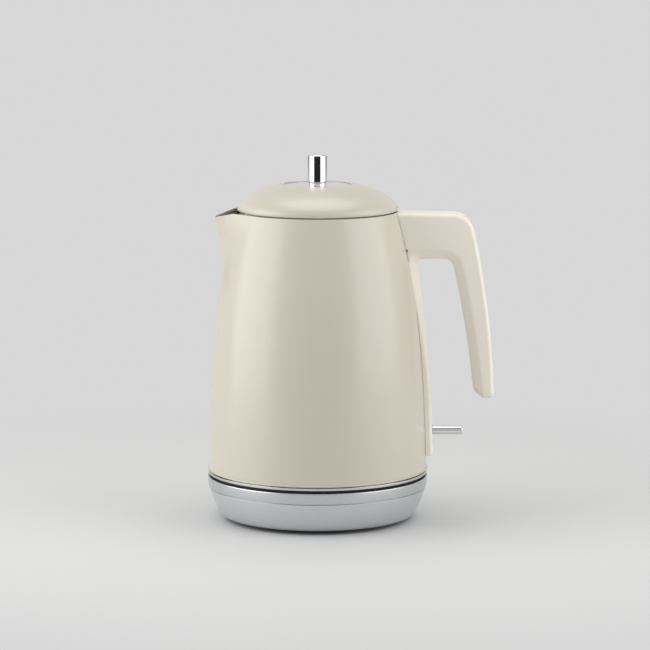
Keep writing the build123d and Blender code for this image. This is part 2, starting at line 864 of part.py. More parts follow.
def make_handle_screws():
    upper = rod_along_x(handle_screw_radius, stud_bore_x + fit, stud_end_x, stud_z)
    upper += rod_along_x(handle_screw_head_radius, stud_end_x, stud_end_x + handle_screw_head, stud_z)
    seat = sqrt((body_radius - wall) ** 2 - handle_screw_head_radius ** 2) - gap
    lower = rod_along_x(handle_screw_radius, seat, body_radius + handle_fit + handle_screw_reach, lower_screw_z)
    lower += rod_along_x(handle_screw_head_radius, seat - handle_screw_head, seat, lower_screw_z)
    return Compound([upper, lower])


# Switch

def make_switch_bracket():
    outer = bracket_gap + bracket_thickness
    x0 = switch_x - bracket_length / 2
    x1 = switch_x + bracket_length / 2
    body = block(x0, x1, -outer, outer, jug_ring_z, switch_z + hub_radius)
    body -= block(x0 - overcut, x1 + overcut, -bracket_gap, bracket_gap, jug_ring_z + bracket_floor, floor_z)
    return body - rod_along_y(pivot_radius + fit, -body_radius, body_radius, switch_z, switch_x)


def make_switch_pivot():
    half = bracket_gap + bracket_thickness
    return rod_along_y(pivot_radius, -half, half, switch_z, switch_x)


def make_switch_lever():
    half = lever_width / 2
    body = rod_along_y(hub_radius, -half, half, switch_z, switch_x)
    body += rod_along_x(nose_radius, switch_x, nose_end_x, switch_z)
    thick = lever_thickness / 2
    arm = Polyline((switch_x, switch_z - thick), (switch_x, switch_z + thick), (lever_end_x, lever_end_z + thick),
                   (lever_end_x, lever_end_z - thick), close=True)
    body += slab(make_face(arm), lever_width)
    body -= rod_along_x(switch_rod_radius + fit, nose_end_x - switch_rod_root, nose_end_x + overcut, switch_z)
    return body - rod_along_y(pivot_radius + pin_clearance, -body_radius, body_radius, switch_z, switch_x)


def make_switch_rod():
    body = rod_along_x(switch_rod_radius, nose_end_x - switch_rod_root, body_radius + switch_rod_out, switch_z)
    return chamfer(body.edges().group_by(Axis.X)[-1], switch_rod_chamfer)


makers = {
    "base_skirt": make_base_skirt,
    "base_trim_ring": make_base_trim_ring,
    "base_deck": make_base_deck,
    "base_bottom_plate": make_base_bottom_plate,
    "base_foot_ring": make_base_foot_ring,
    "base_screws": make_base_screws,
    "cord_gland": make_cord_gland,
    "base_connector": make_base_connector,
    "base_live_contact": make_base_live_contact,
    "base_neutral_contact": make_base_neutral_contact,
    "base_earth_contact": make_base_earth_contact,
    "swivel_ring": make_swivel_ring,
    "jug_body": make_jug_body,
    "jug_trim_ring": make_jug_trim_ring,
    "bottom_cover": make_bottom_cover,
    "cover_screws": make_cover_screws,
    "floor_posts": make_floor_posts,
    "heater_plate": make_heater_plate,
    "floor_seal": make_floor_seal,
    "heat_diffuser": make_heat_diffuser,
    "heating_element": make_heating_element,
    "control_body": make_control_body,
    "control_screws": make_control_screws,
    "live_pin": make_live_pin,
    "neutral_blade": make_neutral_blade,
    "earth_blade": make_earth_blade,
    "dry_boil_discs": make_dry_boil_discs,
    "steam_disc": make_steam_disc,
    "steam_disc_stand": make_steam_disc_stand,
    "steam_tube": make_steam_tube,
    "steam_grommet": make_steam_grommet,
    "mouth_ring": make_mouth_ring,
    "filter_frame": make_filter_frame,
    "filter_mesh": make_filter_mesh,
    "lid_shell": make_lid_shell,
    "lid_disc": make_lid_disc,
    "lid_knob": make_lid_knob,
    "knob_screw": make_knob_screw,
    "lid_liner": make_lid_liner,
    "lid_seal": make_lid_seal,
    "lid_screws": make_lid_screws,
    "handle_frame": make_handle_frame,
    "handle_cap": make_handle_cap,
    "handle_stud": make_handle_stud,
    "handle_screws": make_handle_screws,
    "switch_bracket": make_switch_bracket,
    "switch_pivot": make_switch_pivot,
    "switch_lever": make_switch_lever,
    "switch_rod": make_switch_rod,
}

os.makedirs("parts", exist_ok=True)
for name, make in makers.items():
    export_step(make(), f"parts/{name}.step")
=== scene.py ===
import math
import bmesh
import bpy
from mathutils import Matrix, Vector
from mathutils.geometry import interpolate_bezier


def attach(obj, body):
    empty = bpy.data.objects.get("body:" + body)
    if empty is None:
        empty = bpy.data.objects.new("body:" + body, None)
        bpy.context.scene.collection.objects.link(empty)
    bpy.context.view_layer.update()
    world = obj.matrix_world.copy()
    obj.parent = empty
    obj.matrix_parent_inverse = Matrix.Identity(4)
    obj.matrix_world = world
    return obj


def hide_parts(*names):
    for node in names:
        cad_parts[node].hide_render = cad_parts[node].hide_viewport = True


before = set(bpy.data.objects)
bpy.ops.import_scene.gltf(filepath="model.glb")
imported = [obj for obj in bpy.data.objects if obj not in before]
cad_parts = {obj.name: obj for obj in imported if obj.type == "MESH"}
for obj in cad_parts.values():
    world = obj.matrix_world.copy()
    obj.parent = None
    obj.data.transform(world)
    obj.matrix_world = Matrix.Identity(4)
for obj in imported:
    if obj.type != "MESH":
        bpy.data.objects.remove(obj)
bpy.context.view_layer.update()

scene = bpy.context.scene
mm = 0.001


# shader groups that several finishes share

def startGroup(name, ins, outs):
    group = bpy.data.node_groups.new(name, "ShaderNodeTree")
    for label, kind, value in ins:
        socket = group.interface.new_socket(label, in_out="INPUT", socket_type=kind)
        socket.default_value = value
    for label, kind in outs:
        group.interface.new_socket(label, in_out="OUTPUT", socket_type=kind)
    inNode = group.nodes.new("NodeGroupInput")
    outNode = group.nodes.new("NodeGroupOutput")
    return group, inNode, outNode


def addNode(tree, kind, **values):
    node = tree.nodes.new(kind)
    for key, value in values.items():
        setattr(node, key, value)
    return node


def addRamp(tree, start, end, kind="SMOOTHSTEP"):
    ramp = addNode(tree, "ShaderNodeMapRange", interpolation_type=kind)
    ramp.inputs["From Min"].default_value = start
    ramp.inputs["From Max"].default_value = end
    return ramp


def makeTintGroup():
    # slow drift of a colour between two tones, with a finer mottle on top
    group, inNode, outNode = startGroup(
        "toneDrift",
        [("Tone A", "NodeSocketColor", (1, 1, 1, 1)),
         ("Tone B", "NodeSocketColor", (0.9, 0.9, 0.9, 1)),
         ("Broad", "NodeSocketFloat", 9.0),
         ("Fine", "NodeSocketFloat", 160.0),
         ("Fine Share", "NodeSocketFloat", 0.3)],
        [("Color", "NodeSocketColor")])
    link = group.links.new
    place = addNode(group, "ShaderNodeTexCoord")
    broad = addNode(group, "ShaderNodeTexNoise")
    broad.inputs["Detail"].default_value = 1.0
    fine = addNode(group, "ShaderNodeTexNoise")
    fine.inputs["Detail"].default_value = 2.0
    both = addNode(group, "ShaderNodeMix", data_type="FLOAT")
    ramp = addRamp(group, 0.2, 0.8)
    tones = addNode(group, "ShaderNodeMix", data_type="RGBA")
    link(place.outputs["Object"], broad.inputs["Vector"])
    link(place.outputs["Object"], fine.inputs["Vector"])
    link(inNode.outputs["Broad"], broad.inputs["Scale"])
    link(inNode.outputs["Fine"], fine.inputs["Scale"])
    link(inNode.outputs["Fine Share"], both.inputs["Factor"])
    link(broad.outputs["Fac"], both.inputs[2])
    link(fine.outputs["Fac"], both.inputs[3])
    link(both.outputs[0], ramp.inputs["Value"])
    link(ramp.outputs["Result"], tones.inputs["Factor"])
    link(inNode.outputs["Tone A"], tones.inputs[6])
    link(inNode.outputs["Tone B"], tones.inputs[7])
    link(tones.outputs[2], outNode.inputs["Color"])
    return group


def makeSkinGroup():
    # small surface relief: sprayed paint, moulded plastic or cast rubber
    group, inNode, outNode = startGroup(
        "skinRelief",
        [("Scale", "NodeSocketFloat", 700.0), ("Depth", "NodeSocketFloat", 0.1),
         ("Rough Low", "NodeSocketFloat", 0.3), ("Rough High", "NodeSocketFloat", 0.4)],
        [("Height", "NodeSocketFloat"), ("Rough", "NodeSocketFloat")])
    link = group.links.new
    place = addNode(group, "ShaderNodeTexCoord")
    relief = addNode(group, "ShaderNodeTexNoise")
    relief.inputs["Detail"].default_value = 2.5
    patch = addNode(group, "ShaderNodeTexNoise")
    patch.inputs["Scale"].default_value = 14.0
    patch.inputs["Detail"].default_value = 1.0
    depth = addNode(group, "ShaderNodeMath", operation="MULTIPLY")
    rough = addRamp(group, 0.3, 0.7, "LINEAR")
    link(place.outputs["Object"], relief.inputs["Vector"])
    link(place.outputs["Object"], patch.inputs["Vector"])
    link(inNode.outputs["Scale"], relief.inputs["Scale"])
    link(relief.outputs["Fac"], depth.inputs[0])
    link(inNode.outputs["Depth"], depth.inputs[1])
    link(patch.outputs["Fac"], rough.inputs["Value"])
    link(inNode.outputs["Rough Low"], rough.inputs["To Min"])
    link(inNode.outputs["Rough High"], rough.inputs["To Max"])
    link(depth.outputs[0], outNode.inputs["Height"])
    link(rough.outputs["Result"], outNode.inputs["Rough"])
    return group


def makeTurnedGroup():
    # fine lines left by turning or polishing, round the Z axis
    group, inNode, outNode = startGroup(
        "turnedLines",
        [("Across", "NodeSocketFloat", 2600.0), ("Along", "NodeSocketFloat", 8.0),
         ("Rough Low", "NodeSocketFloat", 0.05), ("Rough High", "NodeSocketFloat", 0.12)],
        [("Height", "NodeSocketFloat"), ("Rough", "NodeSocketFloat")])
    link = group.links.new
    place = addNode(group, "ShaderNodeTexCoord")
    parts = addNode(group, "ShaderNodeSeparateXYZ")
    radius = addNode(group, "ShaderNodeVectorMath", operation="LENGTH")
    flat = addNode(group, "ShaderNodeVectorMath", operation="MULTIPLY")
    flat.inputs[1].default_value = (1, 1, 0)
    turn = addNode(group, "ShaderNodeMath", operation="ARCTAN2")
    radiusFine = addNode(group, "ShaderNodeMath", operation="MULTIPLY")
    heightFine = addNode(group, "ShaderNodeMath", operation="MULTIPLY")
    turnWide = addNode(group, "ShaderNodeMath", operation="MULTIPLY")
    lineSpace = addNode(group, "ShaderNodeCombineXYZ")
    lines = addNode(group, "ShaderNodeTexNoise")
    lines.inputs["Scale"].default_value = 1.0
    lines.inputs["Detail"].default_value = 2.0
    rough = addRamp(group, 0.3, 0.7, "LINEAR")
    link(place.outputs["Object"], parts.inputs["Vector"])
    link(place.outputs["Object"], flat.inputs[0])
    link(flat.outputs["Vector"], radius.inputs[0])
    link(parts.outputs["Y"], turn.inputs[0])
    link(parts.outputs["X"], turn.inputs[1])
    link(radius.outputs["Value"], radiusFine.inputs[0])
    link(inNode.outputs["Across"], radiusFine.inputs[1])
    link(parts.outputs["Z"], heightFine.inputs[0])
    link(inNode.outputs["Across"], heightFine.inputs[1])
    link(turn.outputs[0], turnWide.inputs[0])
    link(inNode.outputs["Along"], turnWide.inputs[1])
    link(turnWide.outputs[0], lineSpace.inputs["X"])
    link(radiusFine.outputs[0], lineSpace.inputs["Y"])
    link(heightFine.outputs[0], lineSpace.inputs["Z"])
    link(lineSpace.outputs["Vector"], lines.inputs["Vector"])
    link(lines.outputs["Fac"], rough.inputs["Value"])
    link(inNode.outputs["Rough Low"], rough.inputs["To Min"])
    link(inNode.outputs["Rough High"], rough.inputs["To Max"])
    link(lines.outputs["Fac"], outNode.inputs["Height"])
    link(rough.outputs["Result"], outNode.inputs["Rough"])
    return group


toneDrift = makeTintGroup()
skinRelief = makeSkinGroup()
turnedLines = makeTurnedGroup()
print("shader groups ready")


# finishes, one for each slot of the record

drifts = {"plain": {"Broad": 9.0, "Fine": 160.0, "Fine Share": 0.3},
          "fleck": {"Broad": 9.0, "Fine": 2600.0, "Fine Share": 0.75},
          "turned": {"Broad": 30.0, "Fine": 400.0, "Fine Share": 0.4}}
skinSockets = ("Scale", "Depth", "Rough Low", "Rough High")
lineSockets = ("Across", "Along", "Rough Low", "Rough High")
bumpDepths = {"moulded": 0.0002, "turned": 0.00001, "polished": 0.000001}


def startFinish(name, fixed):
    mat = bpy.data.materials.new(name)
    mat.use_nodes = True
    tree = mat.node_tree
    bsdf = tree.nodes["Principled BSDF"]
    for socket, value in fixed.items():
        bsdf.inputs[socket].default_value = value
    return mat, tree, bsdf


def placeGroup(tree, group, values):
    node = tree.nodes.new("ShaderNodeGroup")
    node.node_tree = group
    for socket, value in values.items():
        node.inputs[socket].default_value = value
    return node


def addTint(tree, bsdf, tones, drift):
    tint = placeGroup(tree, toneDrift, {
        "Tone A": (*tones[0], 1), "Tone B": (*tones[1], 1), **drifts[drift]})
    tree.links.new(tint.outputs["Color"], bsdf.inputs["Base Color"])


def addSurface(tree, bsdf, group, values, depth):
    marks = placeGroup(tree, group, values)
    bump = tree.nodes.new("ShaderNodeBump")
    bump.inputs["Strength"].default_value = 1.0
    bump.inputs["Distance"].default_value = bumpDepths[depth]
    tree.links.new(marks.outputs["Rough"], bsdf.inputs["Roughness"])
    tree.links.new(marks.outputs["Height"], bump.inputs["Height"])
    tree.links.new(bump.outputs["Normal"], bsdf.inputs["Normal"])


def mouldedFinish(name, tones, skin, fixed, drift="plain"):
    mat, tree, bsdf = startFinish(name, fixed)
    addTint(tree, bsdf, tones, drift)
    addSurface(tree, bsdf, skinRelief, dict(zip(skinSockets, skin)), "moulded")
    return mat


def turnedFinish(name, tones, lines, depth="turned"):
    mat, tree, bsdf = startFinish(name, {"Metallic": 1.0})
    addTint(tree, bsdf, tones, "turned")
    addSurface(tree, bsdf, turnedLines, dict(zip(lineSockets, lines)), depth)
    return mat


# each has two tones, then the relief's scale and depth, or the spacing of the lines across and
# along the turning, and with either the lowest and highest roughness
finishes = {
    "cream_paint": mouldedFinish(
        "creamEnamel", [(0.574, 0.53, 0.445), (0.56, 0.516, 0.432)], (420, 0.03, 0.34, 0.38),
        {"IOR": 1.5, "Coat Weight": 0.4, "Coat Roughness": 0.22, "Coat IOR": 1.5}),
    "cream_plastic": mouldedFinish(
        "creamMoulding", [(0.83, 0.78, 0.69), (0.81, 0.76, 0.67)], (900, 0.05, 0.34, 0.39),
        {"IOR": 1.49}),
    "silver_plastic": mouldedFinish(
        "silverCoat", [(0.66, 0.695, 0.715), (0.565, 0.595, 0.615)], (3200, 0.10, 0.34, 0.40),
        {"Metallic": 0.8}, "fleck"),
    "satin_aluminium": mouldedFinish(
        "satinBand", [(0.60, 0.62, 0.625), (0.54, 0.56, 0.565)], (3200, 0.08, 0.23, 0.29),
        {"Metallic": 0.9}, "fleck"),
    "bright_steel": turnedFinish(
        "brightSteel", [(0.64, 0.635, 0.625), (0.60, 0.595, 0.585)], (2400, 6, 0.14, 0.22)),
    "chrome": turnedFinish(
        "polishedChrome", [(0.84, 0.843, 0.847), (0.815, 0.818, 0.822)], (1800, 5, 0.03, 0.06),
        "polished"),
    "black_plastic": mouldedFinish(
        "blackMoulding", [(0.012, 0.012, 0.013), (0.018, 0.018, 0.019)], (1500, 0.12, 0.38, 0.46),
        {"Specular IOR Level": 0.2}),
    "white_nylon": mouldedFinish(
        "whiteNylon", [(0.72, 0.71, 0.68), (0.69, 0.68, 0.645)], (1100, 0.08, 0.42, 0.5), {}),
    "liner_plastic": mouldedFinish(
        "linerPlastic", [(0.70, 0.68, 0.63), (0.67, 0.65, 0.60)], (1100, 0.08, 0.36, 0.44), {}),
    "rubber": mouldedFinish(
        "footRubber", [(0.03, 0.03, 0.03), (0.04, 0.039, 0.038)], (1300, 0.3, 0.62, 0.75), {}),
    "silicone": mouldedFinish(
        "sealSilicone", [(0.50, 0.50, 0.48), (0.47, 0.47, 0.45)], (800, 0.1, 0.45, 0.55), {}),
    "brass": turnedFinish(
        "contactBrass", [(0.72, 0.52, 0.22), (0.66, 0.46, 0.19)], (1800, 6, 0.22, 0.32)),
    "bimetal": turnedFinish(
        "bimetalDisc", [(0.48, 0.44, 0.40), (0.42, 0.38, 0.34)], (1800, 6, 0.3, 0.4)),
    "element_sheath": mouldedFinish(
        "elementSheath", [(0.30, 0.27, 0.24), (0.24, 0.22, 0.20)], (1400, 0.2, 0.38, 0.5),
        {"Metallic": 0.9}),
    "zinc_steel": turnedFinish(
        "zincSteel", [(0.60, 0.60, 0.60), (0.55, 0.555, 0.56)], (1600, 5, 0.24, 0.34)),
}
print("finishes ready:", len(finishes))

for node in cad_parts.values():
    slotName = node.data.materials[0].name.split(".")[0]
    node.data.materials[0] = finishes[slotName]
print("finishes set on the solids")


# shared modelling helpers; outlines are written in millimetres

weld = 0.002
near = 0.01
clear = 0.05
sharpAngle = math.radians(38)
inwardShare = 0.5
roundSteps = 4


def finishPiece(bm, name, body, slotName, replaced, inside=None):
    bmesh.ops.remove_doubles(bm, verts=bm.verts, dist=weld)
    bmesh.ops.recalc_face_normals(bm, faces=bm.faces)
    if inside:
        # faces that look towards the axis get the inner finish
        for f in bm.faces:
            c = f.calc_center_median()
            outward = f.normal.x * c.x + f.normal.y * c.y
            f.material_index = int(outward < -inwardShare * math.hypot(c.x, c.y))
    bmesh.ops.scale(bm, vec=(mm, mm, mm), verts=bm.verts)
    mesh = bpy.data.meshes.new(name)
    bm.to_mesh(mesh)
    bm.free()
    mesh.shade_smooth()
    mesh.set_sharp_from_angle(angle=sharpAngle)
    mesh.materials.append(finishes[slotName])
    if inside:
        mesh.materials.append(finishes[inside])
    piece = bpy.data.objects.new(name, mesh)
    scene.collection.objects.link(piece)
    level = piece.modifiers.new("evenNormals", "WEIGHTED_NORMAL")
    level.keep_sharp = True
    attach(piece, body)
    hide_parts(*replaced)
    print("made", name, len(mesh.polygons), "faces")


def spinOutline(outline, steps, closed=True):
    # outline points are (radius, height) or (radius, height, edge round)
    bm = bmesh.new()
    verts = [bm.verts.new((p[0], 0, p[1])) for p in outline]
    edges = [bm.edges.new(pair) for pair in zip(verts, verts[1:])]
    if closed:
        edges.append(bm.edges.new((verts[-1], verts[0])))
    bmesh.ops.spin(bm, geom=verts + edges, cent=(0, 0, 0), axis=(0, 0, 1),
                   angle=math.tau, steps=steps, use_merge=True)
    bmesh.ops.remove_doubles(bm, verts=bm.verts, dist=weld)
    bmesh.ops.recalc_face_normals(bm, faces=bm.faces)
    for corner in outline:
        if len(corner) == 3:
            roundEdge(bm, corner)
    return bm


def roundEdge(bm, corner):
    radius, height, reach = corner

    def onCorner(v):
        return abs(math.hypot(v.co.x, v.co.y) - radius) < near and abs(v.co.z - height) < near

    loop = [e for e in bm.edges if onCorner(e.verts[0]) and onCorner(e.verts[1])]
    bevelEdges(bm, loop, reach, roundSteps, True)


def bevelEdges(bm, edges, reach, segments, clamp):
    bmesh.ops.bevel(bm, geom=edges, offset=reach, segments=segments, profile=0.5,
                    affect="EDGES", material=-1, clamp_overlap=clamp)


def bezierRow(p0, h0, h1, p1, count):
    flat = [Vector((p[0], p[1], 0)) for p in (p0, h0, h1, p1)]
    return [(q.x, q.y) for q in interpolate_bezier(*flat, count)]


def arcThrough(p0, p1, p2):
    # centre and radius of the circle through three points
    (ax, ay), (bx, by), (cx, cy) = p0, p1, p2
    a, b, c = (x * x + y * y for x, y in (p0, p1, p2))
    d = 2 * (ax * (by - cy) + bx * (cy - ay) + cx * (ay - by))
    ux = (a * (by - cy) + b * (cy - ay) + c * (ay - by)) / d
    uy = (a * (cx - bx) + b * (ax - cx) + c * (bx - ax)) / d
    return ux, uy, math.hypot(ax - ux, ay - uy)


def arcX(arc, z, out=0.0):
    return arc[0] + math.sqrt((arc[2] + out) ** 2 - (z - arc[1]) ** 2)


def rowBetween(low, high, count):
    return [low + (high - low) * i / (count - 1) for i in range(count)]


def softCorner(start, corner, end, count=7, pull=0.58):
    h0 = [a + (c - a) * pull for a, c in zip(start, corner)]
    h1 = [a + (c - a) * pull for a, c in zip(end, corner)]
    return bezierRow(start, h0, h1, end, count)


# jug shell with its beak: taper and sweep draw the wall in, crowd gathers columns at the beak

jugSet = {"foot": 35.6, "rim": 218.0, "radius": 77.0, "taper": 4.5, "sweep": 15.9,
          "wall": 0.8, "footGap": 0.05, "lipEdge": 0.3, "lipRound": (0.12, 0.08),
          "bead": 0.6, "beadRadius": 77.2, "beadHeight": 36.25, "beadTurn": (-90, 60, 7),
          "beakDepth": 57.0, "beakReach": 17.1, "beakSwing": 2.0, "beakNose": 0.06,
          "lipFrom": 58.2, "lipSlope": 0.29, "lipStart": 188.0, "lipTries": 4,
          "rows": 67, "turns": 320, "crowd": 0.6, "leverHole": (53.0, 69.0, 6.2)}


def wallShare(z):
    return max(0.0, (z - jugSet["foot"]) / (jugSet["rim"] - jugSet["foot"]))


def wallRadius(z):
    # a light taper from the foot, drawn in more and more towards the rim
    return jugSet["radius"] - jugSet["taper"] * wallShare(z) - jugSet["sweep"] * wallShare(z) ** 3


def wallTilt(z):
    drawn = jugSet["taper"] + 3 * jugSet["sweep"] * wallShare(z) ** 2
    return math.atan(drawn / (jugSet["rim"] - jugSet["foot"]))


def beakRadius(z, turn):
    # seen from above, two tangents of the wall meet in a rounded nose
    radius = wallRadius(z)
    share = max(0.0, 1 - (jugSet["rim"] - z) / jugSet["beakDepth"])
    out = jugSet["beakReach"] * min(share, 1.0) ** jugSet["beakSwing"]
    spread = math.acos(radius / (radius + out)) + jugSet["beakNose"]
    return radius / math.cos(max(0.0, spread - math.hypot(turn, jugSet["beakNose"])))


def lipHeight(x):
    return jugSet["rim"] - max(0.0, -x - jugSet["lipFrom"]) * jugSet["lipSlope"]


def jugOutline():
    rim, wall, bead = jugSet["rim"], jugSet["wall"], jugSet["bead"]
    low = jugSet["beadHeight"] + bead
    heights = rowBetween(low, rim - jugSet["lipEdge"], jugSet["rows"])
    turns = [math.radians(a) for a in rowBetween(*jugSet["beadTurn"])]
    inset, drop = jugSet["lipRound"]
    edge = wallRadius(rim)
    outline = [(jugSet["beadRadius"] + bead * math.cos(a),
                jugSet["beadHeight"] + bead * math.sin(a)) for a in turns]
    outline += [(wallRadius(z), z) for z in heights]
    outline += [(edge - inset, rim - drop), (edge - wall / 2, rim),
                (edge - wall + inset, rim - drop)]
    outline += [(wallRadius(z) - wall, z) for z in reversed(heights)]
    outline += [(wallRadius(low) - wall, jugSet["foot"] + jugSet["footGap"])]
    return [(-r, z) for r, z in outline]


def drawBeak(v):
    # crowd the columns towards the beak, then draw the wall out to it
    rim, start = jugSet["rim"], jugSet["lipStart"]
    turn = math.atan2(v.co.y, -v.co.x)
    offset = math.hypot(v.co.x, v.co.y) - wallRadius(v.co.z)
    turn -= jugSet["crowd"] * math.sin(turn)
    z = v.co.z
    # the reach depends on the height and the lip's height on the reach
    for again in range(jugSet["lipTries"]):
        reach = beakRadius(z, turn) + offset
        if v.co.z > start:
            share = (v.co.z - start) / (rim - start)
            z = v.co.z - share * (rim - lipHeight(-reach * math.cos(turn)))
    v.co = (-reach * math.cos(turn), reach * math.sin(turn), z)


def makeJugShell():
    bm = spinOutline(jugOutline(), jugSet["turns"])
    for v in bm.verts:
        drawBeak(v)
    # opening for the switch lever, hidden behind the handle's strip
    low, high, side = jugSet["leverHole"]
    middles = [(f, f.calc_center_median()) for f in bm.faces]
    hole = [f for f, c in middles if c.x > 0 and abs(c.y) < side and low < c.z < high]
    bmesh.ops.delete(bm, geom=hole, context="FACES")
    bmesh.ops.bridge_loops(bm, edges=[e for e in bm.edges if e.is_boundary])
    finishPiece(bm, "jugShell", "jug", "cream_paint", ["jug_body"], inside="bright_steel")


makeJugShell()


# domed lid, its polished plate and knob: edge is the lid's widest point, tuck the foot below it

lidSet = {"edge": (56.3, 220.3), "rise": 5.73, "lead": (40.72, 234.69), "top": 237.1,
          "tuck": (55.0, 218.5), "tuckOut": 0.9, "tuckDown": 1.3,
          "wall": 1.4, "innerDrop": 0.4, "innerTop": 0.9,
          "plateRadius": 23.5, "plateLip": [(0.0, 0.3), (0.07, 0.09), (0.25, 0.03)],
          "seat": 235.45, "seatGap": 0.05, "seatUnder": 234.6, "bore": 3.0,
          "domeRows": 44, "tuckRows": 8, "innerRows": 20, "turns": 224}


def makeLid():
    (edgeX, edgeZ), (leadX, leadZ), (tuckX, tuckZ) = (lidSet[k] for k in ("edge", "lead", "tuck"))
    wall, rise, bore, seat = (lidSet[k] for k in ("wall", "rise", "bore", "seat"))
    # the lip drops into the recess that holds the plate
    lip = [(lidSet["plateRadius"] + out, lidSet["top"] - down) for out, down in lidSet["plateLip"]]
    top = lip[-1]
    dome = bezierRow((edgeX, edgeZ), (edgeX, edgeZ + rise), (leadX, leadZ), top,
                     lidSet["domeRows"])
    tuck = bezierRow((tuckX, tuckZ), (tuckX + lidSet["tuckOut"], tuckZ),
                     (edgeX, edgeZ - lidSet["tuckDown"]), (edgeX, edgeZ), lidSet["tuckRows"])
    inner = bezierRow((edgeX - wall, edgeZ), (edgeX - wall, edgeZ + rise - lidSet["innerDrop"]),
                      (leadX, leadZ - wall), (top[0], top[1] - wall - lidSet["innerTop"]),
                      lidSet["innerRows"])
    outline = [(bore, seat), (lidSet["plateRadius"] - lidSet["seatGap"], seat)] + lip[:-1]
    outline += dome[::-1] + tuck[-2::-1]
    outline += [(tuckX - lidSet["tuckOut"], tuckZ)] + inner + [(bore, lidSet["seatUnder"])]
    finishPiece(spinOutline(outline, lidSet["turns"]),
                "lidDome", "lid", "cream_paint", ["lid_shell"])


plateSet = {"radius": 23.25, "low": 235.5, "high": 236.5, "round": 0.3, "turns": 160,
            "dish": 0.12, "dishRow": [(0.0, 1.0), (0.5, 0.75), (0.8, 0.3)]}


def makePlate():
    r, low, high = plateSet["radius"], plateSet["low"], plateSet["high"]
    outline = [(r * out, high - plateSet["dish"] * down) for out, down in plateSet["dishRow"]]
    outline += [(r, high, plateSet["round"]), (r, low), (0, low)]
    finishPiece(spinOutline(outline, plateSet["turns"], closed=False),
                "lidPlate", "lid", "chrome", ["lid_disc"])


knobSet = {"radius": 6.5, "low": 236.4, "high": 257.5, "round": 0.9, "flat": 2.2, "turns": 96,
           "foot": 0.35, "footHeight": 0.9, "footRound": 0.1, "neckHeight": 1.1, "neckRound": 0.15}


def makeKnob():
    r, low, high = knobSet["radius"], knobSet["low"], knobSet["high"]
    foot = r - knobSet["foot"]
    outline = [(0, high), (r - knobSet["flat"], high), (r, high, knobSet["round"]),
               (r, low + knobSet["neckHeight"], knobSet["neckRound"]),
               (foot, low + knobSet["footHeight"], knobSet["footRound"]), (foot, low), (0, low)]
    finishPiece(spinOutline(outline, knobSet["turns"], closed=False),
                "lidKnob", "lid", "chrome", ["lid_knob"])


makeLid()
makePlate()
makeKnob()


# power base and the ring at the jug's foot

skirtSet = {"foot": 2.7, "lowRadius": 68.1, "midOut": 1.0, "highRadius": 76.5, "seam": 22.9,
            "footRound": 2.9, "footReach": 4.2, "seamRound": 0.3, "wall": 3.0, "rows": 14,
            "turns": 288}


def makeBaseSkirt():
    low = (skirtSet["lowRadius"], skirtSet["foot"])
    high = (skirtSet["highRadius"], skirtSet["seam"])
    middle = ((low[0] + high[0]) / 2 + skirtSet["midOut"], (low[1] + high[1]) / 2)
    arc = arcThrough(low, middle, high)
    heights = rowBetween(low[1] + skirtSet["footReach"], high[1], skirtSet["rows"])
    side = [(arcX(arc, z), z) for z in [low[1]] + heights]
    inner = [(r - skirtSet["wall"], z) for r, z in reversed(side)]
    outline = [(*low, skirtSet["footRound"])] + side[1:-1]
    outline += [(*high, skirtSet["seamRound"])] + inner
    finishPiece(spinOutline(outline, skirtSet["turns"]),
                "baseSkirt", "power_base", "silver_plastic", ["base_skirt"])


bandSet = {"radius": 77.58, "foot": 76.95, "top": 31.1, "crown": 0.05, "crownPlace": 0.6,
           "edge": 0.6, "wall": 2.4, "lip": 1.2, "lipRound": 0.2, "slope": 1.8,
           "seamHeight": 0.5, "seamDepth": 1.4, "seamRound": 0.25, "rows": 8}


def makeBaseBand():
    r, low, high, foot = bandSet["radius"], skirtSet["seam"], bandSet["top"], bandSet["foot"]
    start, inner = low + bandSet["seamHeight"], r - bandSet["wall"]
    # slightly crowned, flaring out from the seam and upright at the top
    crown = (r - bandSet["crown"], low + (high - low) * bandSet["crownPlace"])
    arc = arcThrough((foot, start), crown, (r, high))
    face = [(arcX(arc, z), z) for z in rowBetween(start, high, bandSet["rows"])]
    seam = foot - bandSet["seamDepth"]
    outline = [(inner, low), (seam, low), (seam, start), (*face[0], bandSet["seamRound"])]
    outline += face[1:-1] + [(*face[-1], bandSet["edge"])]
    outline += [(r - bandSet["lip"], high, bandSet["lipRound"]), (inner, high - bandSet["slope"])]
    finishPiece(spinOutline(outline, skirtSet["turns"]),
                "baseBand", "power_base", "satin_aluminium", ["base_trim_ring"])


ringSet = {"inner": 75.5, "outer": 77.3, "low": 33.0, "high": 35.6, "round": 0.35,
           "groove": 0.8, "grooveDepth": 1.6, "grooveRise": 0.56, "grooveRound": 0.2}


def makeJugRing():
    inner, outer, low, high = (ringSet[k] for k in ("inner", "outer", "low", "high"))
    core = outer - ringSet["grooveDepth"]
    outline = [(inner, low), (outer, low, ringSet["round"]),
               (outer, high - ringSet["groove"], ringSet["grooveRound"]),
               (core, high - ringSet["grooveRise"]), (core, high), (inner, high)]
    finishPiece(spinOutline(outline, skirtSet["turns"]),
                "jugRing", "jug", "bright_steel", ["jug_trim_ring"])


makeBaseSkirt()
makeBaseBand()
makeJugRing()


# handle: outer moulding, and inner moulding that runs on as the strip down the wall
# points are (x, z): corner, outMid and outEnd on the outer face, the "in" ones on the finger face

